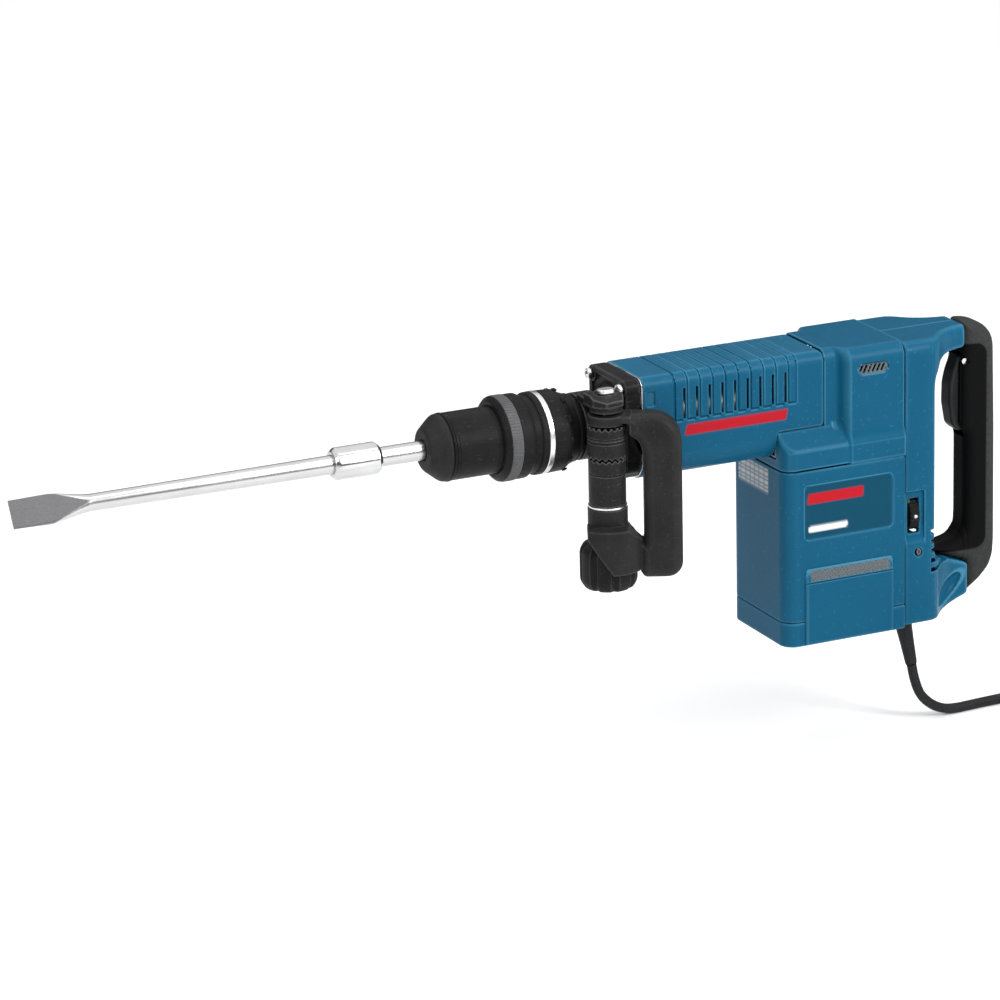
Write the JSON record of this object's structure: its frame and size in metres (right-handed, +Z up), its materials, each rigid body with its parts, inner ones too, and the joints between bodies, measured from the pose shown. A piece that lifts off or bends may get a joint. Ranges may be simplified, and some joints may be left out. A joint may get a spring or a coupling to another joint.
{
  "type": "demolition hammer",
  "caption": "Electric demolition hammer with a flat chisel, quick-change tool holder, swinging side handle and rear D handle.",
  "frame": {"origin": "middle of the rear grip bar, where the hand that carries and works the hammer holds it", "axes": "-X along the impact axis towards the chisel, +Z up, -Y the side that carries the side handle as shown"},
  "size_m": [1.17, 0.2675, 0.3961],
  "materials": {
    "blue_shell": "moulded glass-filled nylon, teal blue, satin grain",
    "blue_light": "moulded nylon, lighter blue insert",
    "black_plastic": "black fibre-filled nylon, fine grain",
    "grip_rubber": "soft grey-black grip rubber, textured",
    "dust_rubber": "soft rubber dust cap",
    "chrome_band": "bright turned steel ring",
    "grey_band": "grey knurled grip band",
    "ground_steel": "ground alloy steel",
    "forged_steel": "forged and polished chisel steel",
    "black_casting": "black painted cast housing",
    "case_alloy": "die-cast aluminium",
    "screw_steel": "zinc-plated socket screws",
    "bearing_steel": "bearing steel",
    "laminations": "stacked laminations with lacquered copper windings",
    "fan_plastic": "moulded cooling fan",
    "carbon": "carbon brush",
    "board": "circuit board",
    "cable_rubber": "heavy rubber cable sheath",
    "tie_strap": "hook and loop cable strap",
    "pin_brass": "nickel-plated brass plug pins"
  },
  "bodies": {
    "housing": {"front_housing": "black_casting", "flange_screws": "screw_steel", "cylinder": "ground_steel", "gear_case": "case_alloy", "crank_bearing": "bearing_steel", "stator": "laminations", "upper_motor_bearing": "bearing_steel", "lower_motor_bearing": "bearing_steel", "carbon_brushes": "carbon", "barrel_cover": "blue_shell", "upper_housing": "blue_shell", "motor_housing": "blue_shell", "bottom_cap": "blue_shell", "brush_covers": "blue_shell", "rear_housing_left": "blue_shell", "rear_housing_right": "blue_shell", "rear_screws": "screw_steel", "rear_strip": "blue_light", "rear_grip": "grip_rubber", "trigger_pin": "screw_steel", "switch": "black_plastic", "control_board": "board", "cord_boot": "cable_rubber", "mains_cord": "cable_rubber", "cord_coil": "cable_rubber", "cord_tie": "tie_strap", "plug": "cable_rubber", "plug_pins": "pin_brass"},
    "holder": {"tool_holder": "ground_steel", "dust_cap": "dust_rubber", "cap_ring": "black_plastic", "front_sleeve": "black_plastic", "locking_segments": "ground_steel", "lock_spring": "ground_steel"},
    "sleeve": {"locking_sleeve": "black_plastic", "sleeve_band": "grey_band"},
    "angle_ring": {"vario_ring": "black_plastic", "vario_band": "chrome_band"},
    "chisel_bit": {"chisel": "forged_steel"},
    "anvil": {"beat_piece": "ground_steel"},
    "ram": {"striker": "ground_steel"},
    "piston_body": {"piston": "ground_steel", "piston_pin": "ground_steel"},
    "rod": {"connecting_rod": "ground_steel"},
    "crank": {"crank_gear": "ground_steel", "crankshaft": "ground_steel"},
    "rotor": {"armature": "laminations", "pinion": "ground_steel", "fan": "fan_plastic"},
    "clamp": {"clamp_band": "black_casting", "clamp_plate": "black_casting", "clamp_bolt": "screw_steel", "detent_ring": "black_plastic", "side_washer": "chrome_band"},
    "side_grip": {"side_handle": "black_plastic", "column_sleeve": "black_plastic"},
    "knob": {"clamp_knob": "black_plastic"},
    "switch_trigger": {"trigger": "black_plastic"},
    "dial": {"speed_dial": "black_plastic"}
  },
  "joints": [
    {"name": "holder_turn", "type": "hinge", "parent": "housing", "child": "holder", "pos_m": [-0.461, 0, 0.078], "axis": [1, 0, 0], "continuous": true},
    {"name": "sleeve_slide", "type": "slide", "parent": "holder", "child": "sleeve", "axis": [1, 0, 0], "range_m": [0, 0.004], "stiffness_N_per_m": 1500, "springref_m": -0.004},
    {"name": "angle_ring_slide", "type": "slide", "parent": "housing", "child": "angle_ring", "axis": [-1, 0, 0], "range_m": [0, 0.0025], "stiffness_N_per_m": 1500, "springref_m": -0.004},
    {"name": "chisel_play", "type": "slide", "parent": "holder", "child": "chisel_bit", "axis": [-1, 0, 0], "range_m": [0, 0.012]},
    {"name": "anvil_slide", "type": "slide", "parent": "holder", "child": "anvil", "axis": [1, 0, 0], "range_m": [-0.002, 0.002]},
    {"name": "striker_slide", "type": "slide", "parent": "housing", "child": "ram", "axis": [1, 0, 0], "range_m": [-0.01, 0.01]},
    {"name": "piston_slide", "type": "slide", "parent": "housing", "child": "piston_body", "axis": [-1, 0, 0], "range_m": [0, 0.028]},
    {"name": "rod_pivot", "type": "hinge", "parent": "piston_body", "child": "rod", "pos_m": [-0.257, 0, 0.078], "axis": [0, 0, 1], "range_deg": [-11, 11]},
    {"name": "rotor_spin", "type": "hinge", "parent": "housing", "child": "rotor", "pos_m": [-0.1608, 0, -0.042], "axis": [0, 0, 1], "continuous": true},
    {"name": "crank_spin", "type": "hinge", "parent": "housing", "child": "crank", "pos_m": [-0.2, 0, 0.038], "axis": [0, 0, 1], "continuous": true},
    {"name": "clamp_swivel", "type": "hinge", "parent": "housing", "child": "clamp", "pos_m": [-0.403, 0, 0.078], "axis": [1, 0, 0], "range_deg": [-6, 14]},
    {"name": "side_grip_swing", "type": "hinge", "parent": "clamp", "child": "side_grip", "pos_m": [-0.403, -0.0485, 0.078], "axis": [0, 0, 1], "range_deg": [-90, 5]},
    {"name": "knob_turn", "type": "hinge", "parent": "clamp", "child": "knob", "pos_m": [-0.403, -0.0485, -0.04], "axis": [0, 0, 1], "range_deg": [0, 360]},
    {"name": "trigger_press", "type": "hinge", "parent": "housing", "child": "switch_trigger", "pos_m": [-0.0105, 0, 0.086], "axis": [0, -1, 0], "range_deg": [0, 6], "stiffness_Nm_per_rad": 6, "springref_deg": -8.59},
    {"name": "dial_turn", "type": "hinge", "parent": "housing", "child": "dial", "pos_m": [-0.083, -0.038, -0.044], "axis": [1, 0, 0], "range_deg": [0, 270]}
  ],
  "couplings": [
    {"joint": "crank_spin", "follows": "rotor_spin", "ratio": -0.27273}
  ]
}
